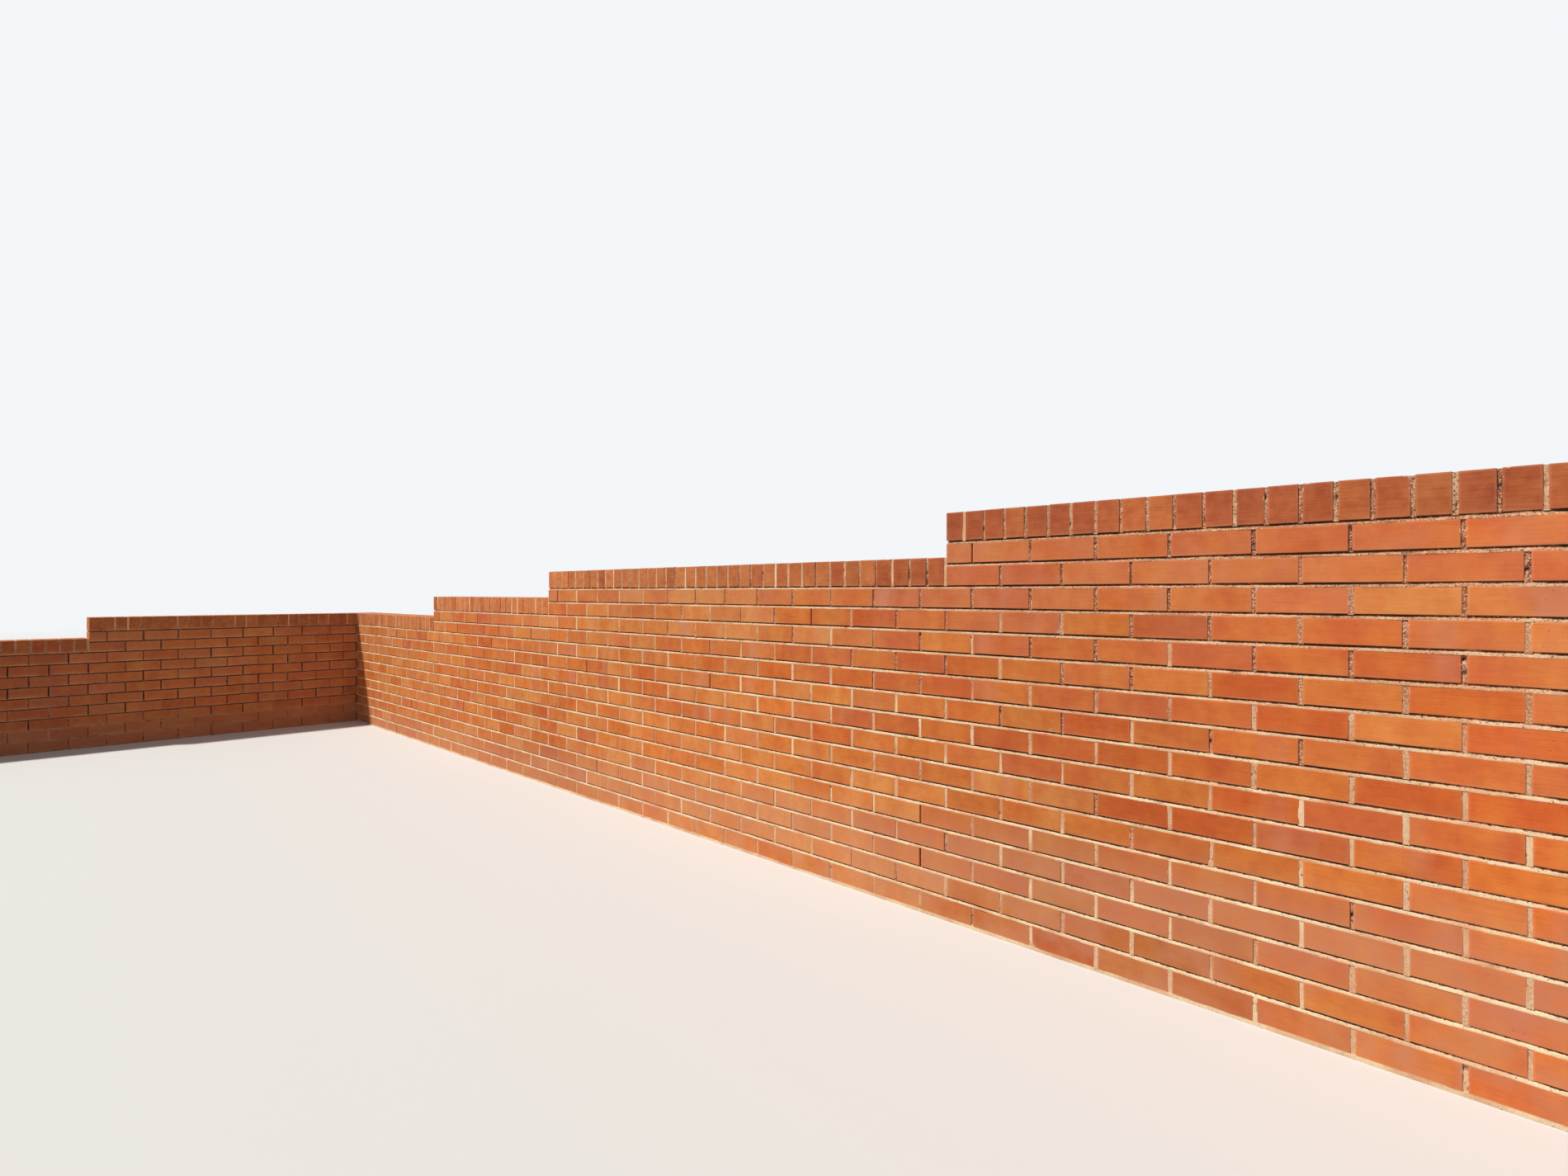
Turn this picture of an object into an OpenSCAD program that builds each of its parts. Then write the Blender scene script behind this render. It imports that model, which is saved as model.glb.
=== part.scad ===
// Brick garden wall: a long wall and a return wall that meet at a corner.
// Both are one brick thick, two leaves of stretchers tied by a mortar core.
// The top steps down two courses at a time from the free end of the long wall,
// round the corner and along the return, and a row of bricks on edge caps each bay.
//
// Frame: the origin is at the foot of the corner, where the two centre lines cross.
// +X runs along the long wall, -Y along the return wall, +Z up.
// The garden side is the inside of the L: it faces -Y on the long wall.

/* [Brick] */
// Width of a brick, the thickness of one leaf
brick_w = 110; // [80:1:140]
// Height of a brick lying on its bed
brick_h = 76; // [50:1:100]

/* [Mortar] */
// Thickness of the joints between bricks and between courses
joint = 10; // [6:1:14]
// Depth that the joints are raked back from the faces of the wall
rake = 5; // [2:1:14]
// Depth that the joints of the coping lie below its top
top_rake = 3; // [1:1:8]

/* [Long wall] */
// Bricks along the highest bay, bay A, at the free end
bay_a_bricks = 10; // [3:1:14]
// Bricks along bay B
bay_b_bricks = 13; // [3:1:16]
// Bricks along bay C
bay_c_bricks = 8; // [3:1:14]
// Bricks along bay D, from the inner corner
bay_d_bricks = 8; // [3:1:14]

/* [Return wall] */
// Whole bricks along bay E, from the inner corner
bay_e_bricks = 8; // [3:1:12]
// Bricks along the lowest bay, bay F, at the free end
bay_f_bricks = 8; // [3:1:14]

/* [Height] */
// Courses of bricks under the coping in the lowest bay
low_courses = 9; // [5:1:13]
// Courses by which the top drops at each step
step_courses = 2; // [1:1:4]

/* [Hidden] */
// A brick is as long as two widths and a joint, so a header spans both leaves
brick_l = 2 * brick_w + joint;
half_t = brick_l / 2;
gauge = brick_h + joint;
brick_pitch = brick_l + joint;

// The coping's bricks stand on edge, so they are as high as a brick is wide
coping_h = brick_w;

// Courses under the coping of each bay: D and E meet at the corner at one height
courses_f = low_courses;
courses_e = courses_f + step_courses;
courses_d = courses_e;
courses_c = courses_d + step_courses;
courses_b = courses_c + step_courses;
courses_a = courses_b + step_courses;

// The bond wraps the corner, which adds half a brick to the return
corner_half = brick_pitch / 2;

// Distances along each wall from the corner: the stopped ends of the bays
step_c = half_t + joint + bay_d_bricks * brick_pitch;
step_b = step_c + bay_c_bricks * brick_pitch;
step_a = step_b + bay_b_bricks * brick_pitch;
long_end = step_a + bay_a_bricks * brick_pitch - joint;
step_e = half_t + bay_e_bricks * brick_pitch + corner_half;
return_end = step_e + bay_f_bricks * brick_pitch;

// The names that the modules take for the walls and their leaves
LONG = "long";
RETURN = "return";
FRONT = "front";
BACK = "back";

// A lift is what is built between two steps: wall, first and last course, start and end.
// A start of CORNER means that the lift is bonded into the corner.
CORNER = "corner";
LONG_1 = [LONG, 1, courses_d, CORNER, long_end];
LONG_2 = [LONG, courses_d + 1, courses_c, step_c, long_end];
LONG_3 = [LONG, courses_c + 1, courses_b, step_b, long_end];
LONG_4 = [LONG, courses_b + 1, courses_a, step_a, long_end];
RETURN_1 = [RETURN, 1, courses_f, CORNER, return_end];
RETURN_2 = [RETURN, courses_f + 1, courses_e, CORNER, step_e];

function wall_of(lift) = lift[0];
function first_of(lift) = lift[1];
function last_of(lift) = lift[2];
function start_of(lift) = lift[3];
function end_of(lift) = lift[4];

// Heights of a course's bed joint, of its bricks and of the top of a bay
function bed_z(course) = (course - 1) * gauge;
function brick_z(course) = bed_z(course) + joint;
function bay_top(courses) = courses * gauge + joint + coping_h;

// Odd courses stop in a header, so their stretchers start a header and a joint in
function odd(course) = course % 2 == 1;
function header_room(course) = odd(course) ? brick_w + joint : 0;

// The two walls run through the corner in turn: the long wall in odd courses,
// the return wall in even ones. In its through courses a wall's leaves reach the
// other wall's outer leaf. In the rest its front leaf stops at the inner corner
// and its back leaf runs to the outer one.
function through(lift, course) = odd(course) == (wall_of(lift) == LONG);
function corner_start(lift, course, leaf) =
    through(lift, course) ? joint / 2 : leaf == FRONT ? half_t + joint : -half_t;

function leaf_start(lift, course, leaf) =
    start_of(lift) == CORNER
        ? corner_start(lift, course, leaf)
        : start_of(lift) + header_room(course);
function leaf_end(lift, course) = end_of(lift) - header_room(course);

// The mortar is raked where an end stands free, and meets the end's face where the
// coping of the next lower bay covers it. The bottom bed is full, as it lies on the footing.
function face_rake(course) = course == 1 ? 0 : rake;
function step_cover(lift) = first_of(lift) == 1 ? 0 : bay_top(first_of(lift) - 1);
function step_rake(lift, z, height) = z + height <= step_cover(lift) ? 0 : rake;

// The far end of every lift of the long wall is the free end, which nothing covers
function far_rake(lift, z, height) =
    wall_of(lift) == LONG ? rake : step_rake(lift, z, height);

// Puts what is built along +X with its garden side to -Y onto the wall's own line
module along(wall) {
    if (wall == LONG)
        children();
    else
        mirror([1, 1, 0]) children();
}

// A box from one distance along the wall to another
module block(from, to, side, width, z, height) {
    translate([from, side, z])
        cube([to - from, width, height]);
}

// One leaf of a lift: a slab of stretchers in each course, with its bed joints open
module leaf(lift, leaf) {
    side = leaf == FRONT ? -half_t : half_t - brick_w;
    color("#C4542B")
        along(wall_of(lift))
            for (course = [first_of(lift) : last_of(lift)])
                block(leaf_start(lift, course, leaf), leaf_end(lift, course),
                      side, brick_w, brick_z(course), brick_h);
}

// The headers that close the odd courses of a stopped end, one above the other
module end_headers(wall, from, first, last) {
    color("#B5492A")
        along(wall)
            for (course = [first : last])
                if (odd(course))
                    block(from, from + brick_w, -half_t, brick_l, brick_z(course), brick_h);
}

// The bed joint under one course
module bed(lift, course) {
    z = bed_z(course);
    inset = face_rake(course);
    from = start_of(lift) != CORNER
        ? start_of(lift) + step_rake(lift, z, joint)
        : wall_of(lift) == LONG ? inset - half_t : half_t - inset;
    to = end_of(lift) - (course == 1 ? 0 : far_rake(lift, z, joint));
    block(from, to, inset - half_t, brick_l - 2 * inset, z, joint);
}

// The collar joint between the leaves, which holds the beds together from the first
// course to the last. It stops short of the corner and of the headers.
module collar_joint(lift) {
    from = start_of(lift) == CORNER ? half_t : start_of(lift) + brick_w;
    z = bed_z(first_of(lift));
    block(from, end_of(lift) - brick_w, -joint / 2, joint, z, bed_z(last_of(lift) + 1) - z);
}

// The collar joint of one course where it runs on, past the headers of the other courses
module collar_run(lift, course) {
    z = brick_z(course);
    from = start_of(lift) == CORNER
        ? (through(lift, course) ? joint / 2 : rake - half_t)
        : start_of(lift) + (odd(course) ? brick_w : step_rake(lift, z, brick_h));
    to = end_of(lift) - (odd(course) ? brick_w : far_rake(lift, z, brick_h));
    block(from, to, -joint / 2, joint, z, brick_h);
}

// The upright joint behind a header, across the whole wall
module header_joint(from, course) {
    block(from, from + joint, rake - half_t, brick_l - 2 * rake, brick_z(course), brick_h);
}

// The upright joint where a front leaf stops against the other wall's face
module corner_joint(course) {
    block(half_t, half_t + joint, rake - half_t, half_t - rake, brick_z(course), brick_h);
}

// The mortar of a lift: beds, collar joint and the upright joints at its ends
module mortar_core(lift) {
    color("#C2B196")
        along(wall_of(lift))
            union() {
                collar_joint(lift);
                for (course = [first_of(lift) : last_of(lift)]) {
                    bed(lift, course);
                    collar_run(lift, course);
                    if (odd(course))
                        header_joint(end_of(lift) - brick_w - joint, course);
                    if (odd(course) && start_of(lift) != CORNER)
                        header_joint(start_of(lift) + brick_w, course);
                    if (start_of(lift) == CORNER && !through(lift, course))
                        corner_joint(course);
                }
            }
}

// The coping fills its bay with whole bricks on edge, so its joints take up what is left
function coping_count(from, to) = round((to - from + joint) / (brick_h + joint));
function coping_pitch(from, to) = (to - from - brick_h) / (coping_count(from, to) - 1);

// One bay's coping: bricks on edge laid across the wall
module coping(wall, courses, from, to) {
    pitch = coping_pitch(from, to);
    color("#B84A2C")
        along(wall)
            for (i = [0 : coping_count(from, to) - 1])
                block(from + i * pitch, from + i * pitch + brick_h,
                      -half_t, brick_l, brick_z(courses + 1), coping_h);
}

// The mortar of a coping: its bed, a joint between each two bricks, and a joint at
// each end that meets another piece. The bed runs from bed_from to bed_to.
module coping_mortar(wall, courses, from, to, bed_from, bed_to) {
    pitch = coping_pitch(from, to);
    width = brick_l - 2 * rake;
    z = bed_z(courses + 1);
    upright_h = joint + coping_h - top_rake;
    color("#C2B196")
        along(wall)
            union() {
                block(bed_from, bed_to, -width / 2, width, z, joint);
                for (i = [1 : coping_count(from, to) - 1])
                    block(from + (i - 1) * pitch + brick_h, from + i * pitch,
                          -width / 2, width, z, upright_h);
                if (bed_from < from)
                    block(from - joint, from, -width / 2, width, z, upright_h);
                if (bed_to > to)
                    block(to, to + joint, -width / 2, width, z, upright_h);
            }
}

leaf(LONG_1, FRONT);  // long_lift_1_front_leaf
leaf(LONG_1, BACK);  // long_lift_1_back_leaf
mortar_core(LONG_1);  // long_lift_1_mortar
leaf(LONG_2, FRONT);  // long_lift_2_front_leaf
leaf(LONG_2, BACK);  // long_lift_2_back_leaf
mortar_core(LONG_2);  // long_lift_2_mortar
leaf(LONG_3, FRONT);  // long_lift_3_front_leaf
leaf(LONG_3, BACK);  // long_lift_3_back_leaf
mortar_core(LONG_3);  // long_lift_3_mortar
leaf(LONG_4, FRONT);  // long_lift_4_front_leaf
leaf(LONG_4, BACK);  // long_lift_4_back_leaf
mortar_core(LONG_4);  // long_lift_4_mortar
leaf(RETURN_1, FRONT);  // return_lift_1_front_leaf
leaf(RETURN_1, BACK);  // return_lift_1_back_leaf
mortar_core(RETURN_1);  // return_lift_1_mortar
leaf(RETURN_2, FRONT);  // return_lift_2_front_leaf
leaf(RETURN_2, BACK);  // return_lift_2_back_leaf
mortar_core(RETURN_2);  // return_lift_2_mortar

end_headers(LONG, long_end - brick_w, 1, courses_a);  // long_end_headers
end_headers(LONG, step_a, courses_b + 1, courses_a);  // step_a_headers
end_headers(LONG, step_b, courses_c + 1, courses_b);  // step_b_headers
end_headers(LONG, step_c, courses_d + 1, courses_c);  // step_c_headers
end_headers(RETURN, return_end - brick_w, 1, courses_f);  // return_end_headers
end_headers(RETURN, step_e - brick_w, courses_f + 1, courses_e);  // step_e_headers

coping(LONG, courses_a, step_a, long_end);  // coping_a
coping(LONG, courses_b, step_b, step_a - joint);  // coping_b
coping(LONG, courses_c, step_c, step_b - joint);  // coping_c
coping(LONG, courses_d, -half_t, step_c - joint);  // coping_d
coping(RETURN, courses_e, half_t + joint, step_e);  // coping_e
coping(RETURN, courses_f, step_e + joint, return_end);  // coping_f

coping_mortar(LONG, courses_a, step_a, long_end, step_a + rake, long_end - rake);  // coping_a_mortar
coping_mortar(LONG, courses_b, step_b, step_a - joint, step_b + rake, step_a);  // coping_b_mortar
coping_mortar(LONG, courses_c, step_c, step_b - joint, step_c + rake, step_b);  // coping_c_mortar
coping_mortar(LONG, courses_d, -half_t, step_c - joint, rake - half_t, step_c);  // coping_d_mortar
coping_mortar(RETURN, courses_e, half_t + joint, step_e, half_t - rake, step_e - rake);  // coping_e_mortar
coping_mortar(RETURN, courses_f, step_e + joint, return_end, step_e, return_end - rake);  // coping_f_mortar
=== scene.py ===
import math

import bpy
import numpy as np
from mathutils import Matrix, Vector

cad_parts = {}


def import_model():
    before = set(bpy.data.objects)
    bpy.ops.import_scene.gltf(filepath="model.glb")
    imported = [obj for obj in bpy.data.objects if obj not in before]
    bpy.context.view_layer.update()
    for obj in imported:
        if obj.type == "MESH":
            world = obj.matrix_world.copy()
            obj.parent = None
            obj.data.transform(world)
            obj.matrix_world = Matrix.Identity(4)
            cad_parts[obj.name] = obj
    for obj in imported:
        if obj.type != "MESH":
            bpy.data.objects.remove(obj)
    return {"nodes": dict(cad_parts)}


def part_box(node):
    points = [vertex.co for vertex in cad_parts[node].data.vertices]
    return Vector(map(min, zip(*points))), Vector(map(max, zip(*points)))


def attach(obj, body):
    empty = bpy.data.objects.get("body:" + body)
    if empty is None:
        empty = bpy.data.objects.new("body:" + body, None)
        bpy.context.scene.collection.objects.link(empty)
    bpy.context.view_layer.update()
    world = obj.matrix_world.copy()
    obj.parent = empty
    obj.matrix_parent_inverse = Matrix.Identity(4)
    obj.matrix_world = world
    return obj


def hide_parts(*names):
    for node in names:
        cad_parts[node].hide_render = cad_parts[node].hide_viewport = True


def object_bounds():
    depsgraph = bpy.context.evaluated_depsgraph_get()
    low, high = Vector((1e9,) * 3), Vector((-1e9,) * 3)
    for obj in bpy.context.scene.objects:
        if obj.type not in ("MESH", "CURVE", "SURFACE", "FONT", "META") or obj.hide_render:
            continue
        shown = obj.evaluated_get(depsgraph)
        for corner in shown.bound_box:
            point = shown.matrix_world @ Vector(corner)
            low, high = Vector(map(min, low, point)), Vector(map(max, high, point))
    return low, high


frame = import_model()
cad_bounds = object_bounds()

# The visual model of a brick garden wall. Each brick and each joint is a closed body of its own,
# set out on the same bond as the solids, and the marks on its points steer the materials.

# Brickwork, in metres. Lengths that the frame holds are read from it further down.
JOINT = 0.010
BRICK_W = 0.110
BRICK_L = 2 * BRICK_W + JOINT
BRICK_H = 0.076
PITCH = BRICK_L + JOINT
GAUGE = BRICK_H + JOINT
HALF_T = BRICK_L / 2
TOP_RAKE = 0.003

# Edges of a brick: its rounding, the rubbed rim beside it and a painted highlight along its foot
ARRIS = 0.0016
RIM = 0.007
FOOT_HIGHLIGHT_H = 0.0080
FOOT_HIGHLIGHT_CELL = 0.11
FOOT_HIGHLIGHT_SHARE = (0.65, 0.9)
SHARP_ANGLE = 50

# Chips: how many bricks have one, how many of these lie at a corner and how many are smeared
CHIPPED = 0.12
AT_CORNER = 0.6
FILLED = 0.5
CHIP_REACH = (0.008, 0.020)
CHIP_DEPTH = (0.002, 0.0045)

# How far a mason's work strays from the line, all inwards from the wall's faces
FACE_STRAY = 0.0012
JOINT_STRAY = 0.0018
LEVEL_STRAY = 0.0010
TURN_STRAY = 0.0012
TOP_STRAY = 0.002
WARP = 0.0003
WARP_CELL = 0.045

# Mortar: the overlap hides its edges in the bricks, the cell is its mesh spacing
OVERLAP = 0.0022
BED_CELL = 0.020
END_RAKE = 0.005
COLLAR_RAKE = 0.0008
COLLAR_REACH = 0.12

# Waves of a mortar face as cell and height, and the pits between them
SLOW_WAVE = (0.050, 0.0010)
FAST_WAVE = (0.012, 0.0006)
PIT_CELL = 0.008
PIT_FROM = 0.45
PIT_SLOPE = 2.6
PIT_DEPTH = 0.011
PITTED_TOP = 0.7
SHALLOWEST = 0.0002

# How a bed's profile gets deeper and shallower along it, as cell and share
FIRM_SLOW = (0.35, 0.45)
FIRM_FAST = (0.06, 0.2)

# Weather: mortar ages with its height, and less near the corner of the long wall
WORST_Z = 1.5
AGE_ALONG = ((6.4, 7.5), (0.62, 1.0))
AGE_RETURN = ((0.15, 0.45), (1.0, 1.3))

# Chances of a worn upright joint, from its age and from patches of the wall, and its browning
WORN_FROM = 0.38
WORN_SLOPE = 2.4
WORN_PATCH = 0.5
PATCH_CELL = 1.1
WORN_CHANCE = (0.04, 0.94)
COPING_WORN = 1.4
COPING_FRESH = 0.3
RETURN_COPING_WORN = ((2.1, 2.2), (0.6, 0.9))
BROWNED = 0.35

# Chances of an open upright joint, one that has lost its face
OPEN_LONG = 0.02
OPEN_RETURN = 0.45

# Profiles of a bed, as height above its knee and depth there. On the long wall it laps over the
# arris of the lower brick, is flush up to its knee and is struck back above it, with shade painted
# into the deep part. On the return it has a deep ledge at its foot with shade painted into it, is
# nearly flush above the knee, and the lowest beds there are flush.
BED_LAP = 0.0030
KNEE_NEW = 0.0042
KNEE_WORN = 0.0018
KNEE_FADE = 0.0028
STRUCK = ((-0.0050, 0.0002), (0.0, 0.0009), (KNEE_FADE, 0.0062), (0.0100, 0.0115))
LEDGE = ((-0.0050, 0.0085), (0.0, 0.0080), (KNEE_FADE, 0.0022), (0.0100, 0.0012))
FLUSH = ((-0.0050, 0.0012), (0.0100, 0.0010))
# Shade painted on a bed: the depth where it starts and the depth over which it grows full
RECESS_SHADE_FROM = 0.0022
RECESS_SHADE_OVER = 0.0030
RAGGED = 0.0014
RAGGED_CELL = 0.045

# How pitted and how grey with weather a new bed is, and how much age adds to each
BED_RAKE = 0.0005
BED_PITTED = (0.10, 0.35)
BED_GREY = (0.05, 0.42)

# Upright joints, fresh, worn and open: how far they are set back, and how pitted and grey they are
FRESH_RAKE = (0.0008, 0.0028)
WORN_RAKE = (0.002, 0.005)
OPEN_RAKE = (0.009, 0.018)
FRESH_PITTED = (0.0, 0.3)
WORN_PITTED = (0.5, 0.85)
FRESH_GREY = (0.05, 0.35)
WORN_GREY = (0.28, 0.58)
# How strong the shade painted into an open joint's deep recess is
OPEN_SHADE = (0.5, 0.9)

LONG = "long"
RETURN = "return"


# Numbers that look random and stay the same in each run

def hash01(x, y, z, seed):
    """A number from 0 to 1 for each lattice point"""
    h = (x * 73856093) ^ (y * 19349663) ^ (z * 83492791) ^ (seed * 265443576)
    h = ((h ^ (h >> 13)) * 1274126177) & 0xFFFFFFFF
    h = ((h ^ (h >> 15)) * 668265263) & 0xFFFFFFFF
    return ((h ^ (h >> 16)) & 0xFFFF) / 65535.0


def noise(points, cell, seed):
    """Smooth noise from -1 to 1 at points, with one lattice point every cell metres"""
    scaled = points / cell
    base = np.floor(scaled).astype(np.int64)
    part = scaled - base
    part = part * part * (3 - 2 * part)
    total = np.zeros(len(points))
    for corner in range(8):
        step = np.array([corner & 1, corner >> 1 & 1, corner >> 2 & 1])
        weight = np.where(step, part, 1 - part).prod(axis=1)
        at = base + step
        total += weight * hash01(at[:, 0], at[:, 1], at[:, 2], seed)
    return total * 2 - 1


# Walls: u runs along a wall from the corner, v across it from the garden side, z up

def to_world(wall, points):
    """Points in a wall's own directions, turned to those of the frame"""
    if wall == LONG:
        return points
    return np.stack([-points[:, 1], -points[:, 0], points[:, 2]], axis=1)


def wall_of(node):
    """The wall that a node belongs to, from its name"""
    return RETURN if node.startswith(("return", "step_e", "coping_e", "coping_f")) else LONG


def wall_box(node):
    """A node's box in its wall's own directions"""
    low, high = (np.array(c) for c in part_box(node))
    if wall_of(node) == LONG:
        return low, high
    return np.array([-high[1], -high[0], low[2]]), np.array([-low[1], -low[0], high[2]])


def solids(node):
    """The box of each separate solid of a node, in its wall's own directions, sorted"""
    mesh = frame["nodes"][node].data
    points = np.empty(len(mesh.vertices) * 3)
    mesh.vertices.foreach_get("co", points)
    points = points.reshape(-1, 3)
    keys, welded = np.unique(np.round(points * 1e5).astype(np.int64), axis=0, return_inverse=True)
    welded = welded.reshape(-1)
    edges = np.empty(len(mesh.edges) * 2, dtype=np.int64)
    mesh.edges.foreach_get("vertices", edges)
    edges = welded[edges.reshape(-1, 2)]
    label = np.arange(len(keys))
    while True:
        low = np.minimum(label[edges[:, 0]], label[edges[:, 1]])
        before = label.copy()
        np.minimum.at(label, edges[:, 0], low)
        np.minimum.at(label, edges[:, 1], low)
        label = label[label]
        if (label == before).all():
            break
    own = keys / 1e5
    if wall_of(node) == RETURN:
        own = np.stack([-own[:, 1], -own[:, 0], own[:, 2]], axis=1)
    groups = [own[label == one] for one in np.unique(label)]
    boxes = [(group.min(axis=0), group.max(axis=0)) for group in groups]
    return sorted(boxes, key=lambda b: (round(b[0][2], 4), round(b[0][0], 4)))


# Lattices: a closed box whose faces are grids. A stop is (share of the side, metres).

def stops(ends, cells):
    """Stops at the given distances from both ends, and even ones between"""
    inner = [(k / cells, 0.0) for k in range(1, cells)]
    return [(0.0, e) for e in ends] + inner + [(1.0, -e) for e in reversed(ends)]


def lattice(su, sv, sz, cap_back=False):
    """Shares, metres and faces of a box with these stops. cap_back closes +v with one face."""
    nu, nv, nz = len(su), len(sv), len(sz)
    number = {}
    shares, metres = [], []

    def vert(i, j, k):
        if (i, j, k) not in number:
            number[i, j, k] = len(shares)
            shares.append((su[i][0], sv[j][0], sz[k][0]))
            metres.append((su[i][1], sv[j][1], sz[k][1]))
        return number[i, j, k]

    faces = []
    for i in range(nu - 1):
        for k in range(nz - 1):
            faces.append([vert(i, 0, k), vert(i + 1, 0, k), vert(i + 1, 0, k + 1), vert(i, 0, k + 1)])
            if not cap_back:
                j = nv - 1
                faces.append([vert(i, j, k), vert(i, j, k + 1),
                              vert(i + 1, j, k + 1), vert(i + 1, j, k)])
    for i in range(nu - 1):
        for j in range(nv - 1):
            k = nz - 1
            faces.append([vert(i, j, 0), vert(i, j + 1, 0), vert(i + 1, j + 1, 0), vert(i + 1, j, 0)])
            faces.append([vert(i, j, k), vert(i + 1, j, k), vert(i + 1, j + 1, k), vert(i, j + 1, k)])
    for j in range(nv - 1):
        for k in range(nz - 1):
            i = nu - 1
            faces.append([vert(0, j, k), vert(0, j, k + 1), vert(0, j + 1, k + 1), vert(0, j + 1, k)])
            faces.append([vert(i, j, k), vert(i, j + 1, k), vert(i, j + 1, k + 1), vert(i, j, k + 1)])
    if cap_back:
        j = nv - 1
        rim = [vert(i, j, 0) for i in range(nu)]
        rim += [vert(nu - 1, j, k) for k in range(1, nz)]
        rim += [vert(i, j, nz - 1) for i in range(nu - 2, -1, -1)]
        rim += [vert(0, j, k) for k in range(nz - 2, 0, -1)]
        faces.append(rim[::-1])
    return np.array(shares), np.array(metres), faces


class Heap:
    """Gathers many closed boxes into one mesh"""

    def __init__(self):
        self.points, self.faces, self.marks, self.count = [], [], [], 0

    def add(self, points, faces, **marks):
        self.points.append(points)
        self.faces += [[v + self.count for v in face] for face in faces]
        self.marks.append({name: np.broadcast_to(value, len(points)) for name, value in marks.items()})
        self.count += len(points)

    def piece(self, name, wall, material, slot, *nodes):
        """Makes the mesh object, which stands for the given CAD nodes"""
        points = to_world(wall, np.concatenate(self.points))
        low, high = cad_bounds
        points = np.clip(points, np.array(low), np.array(high))
        faces = self.faces if wall == LONG else [face[::-1] for face in self.faces]
        mesh = bpy.data.meshes.new(name)
        mesh.from_pydata(points.tolist(), [], faces)
        for mark in self.marks[0]:
            values = np.concatenate([m[mark] for m in self.marks])
            layer = mesh.attributes.new(mark, "FLOAT", "POINT")
            layer.data.foreach_set("value", values.astype(np.float32))
        mesh.materials.append(material)
        mesh.polygons.foreach_set("use_smooth", [True] * len(mesh.polygons))
        mesh.set_sharp_from_angle(angle=math.radians(SHARP_ANGLE))
        obj = bpy.data.objects.new(name, mesh)
        bpy.context.scene.collection.objects.link(obj)
        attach(obj, "root")
        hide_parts(*nodes)


# Bricks

EDGE = (0.0, ARRIS, RIM)
FRONT = [(0.0, 0.0), (0.0, ARRIS), (1.0, 0.0)]
STRETCHER = lattice(stops(EDGE, 6), FRONT, stops(EDGE, 2), cap_back=True)
WHOLE = lattice(stops(EDGE, 2), stops(EDGE, 6), stops(EDGE, 3))


def chip(points, size, rng):
    """Breaks a bit off one of the front corners or edges"""
    end = rng.integers(2)
    along = end * size[0] if rng.random() < AT_CORNER else rng.uniform(0.1, 0.9) * size[0]
    at = np.array([along, 0.0, rng.integers(2) * size[2]])
    reach = rng.uniform(*CHIP_REACH)
    near = np.clip(1 - np.linalg.norm(points - at, axis=1) / reach, 0, 1)
    to_middle = np.sign(size / 2 - at) * [0.3, 1.0, 0.3]
    return points + to_middle * (near * rng.uniform(*CHIP_DEPTH))[:, None], near


# How the usual look changes along a wall: distances from the corner, tones and values there
TONES = {
    (LONG, "face"): ((4.0, 5.9, 6.8, 7.4, 8.2), (0.55, 0.74, 0.54, 0.46, 0.28)),
    (LONG, "coping"): ((5.6, 6.6, 7.2), (0.98, 0.80, 0.28)),
    (RETURN, "face"): ((1.8, 2.4), (0.40, 0.12)),
    (RETURN, "coping"): ((1.8, 2.6), (0.70, 0.35)),
}
VALUES = {
    (LONG, "face"): ((4.0, 5.9, 6.8, 7.4, 7.8, 8.2, 8.7), (0.5, 2.0, 0.9, -1.5, -1.0, 1.5, 4.8)),
    (LONG, "coping"): ((6.8, 7.1), (1.2, 0.7)),
    (RETURN, "face"): ((1.7, 2.3), (0.7, -4.0)),
    (RETURN, "coping"): ((1.8, 2.6), (0.7, -2.2)),
}
HAZE = {LONG: 0.0, RETURN: 1.2}
SPREAD = {LONG: 1.0, RETURN: 0.5}
# How strong the painted highlight along the bricks' feet is on each wall
FOOT_HIGHLIGHT = {LONG: 0.38, RETURN: 1.3}

# How single bricks and patches of a wall stray from it: share of each, and the patches' cell
TONE_STRAY = (0.20, 0.25, 0.9)
VALUE_STRAY = (0.6, 2.2, 1.3)


def straying(stray, centre, seed, rng):
    """How far a brick is from the usual look: its own part and that of its patch of wall"""
    own, patch, cell = stray
    return own * rng.normal() + patch * noise(centre, cell, seed)[0]


def slack(rng):
    """How far the lower or the upper corner of a brick strays from that of its box"""
    return np.array([rng.uniform(-1, 1) * JOINT_STRAY, 0.0, rng.uniform(0, LEVEL_STRAY)])


def rounded(template, size):
    """Points of a box of this size with round arrises, and the way out from the core at each"""
    shares, metres, _ = template
    points = shares * size + metres
    core = np.clip(points, ARRIS, size - ARRIS)
    out = points - core
    out = out / np.maximum(np.linalg.norm(out, axis=1), 1e-9)[:, None]
    return core + out * ARRIS, out


def set_by_hand(points, size, rng):
    """Sets a brick a little back, turned and out of level"""
    along = (points[:, 0] - size[0] / 2) / BRICK_L
    points[:, 1] += rng.uniform(0, FACE_STRAY)
    points[:, 1] += along * rng.uniform(-1, 1) * TURN_STRAY
    points[:, 2] += along * rng.uniform(-1, 1) * LEVEL_STRAY


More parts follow.
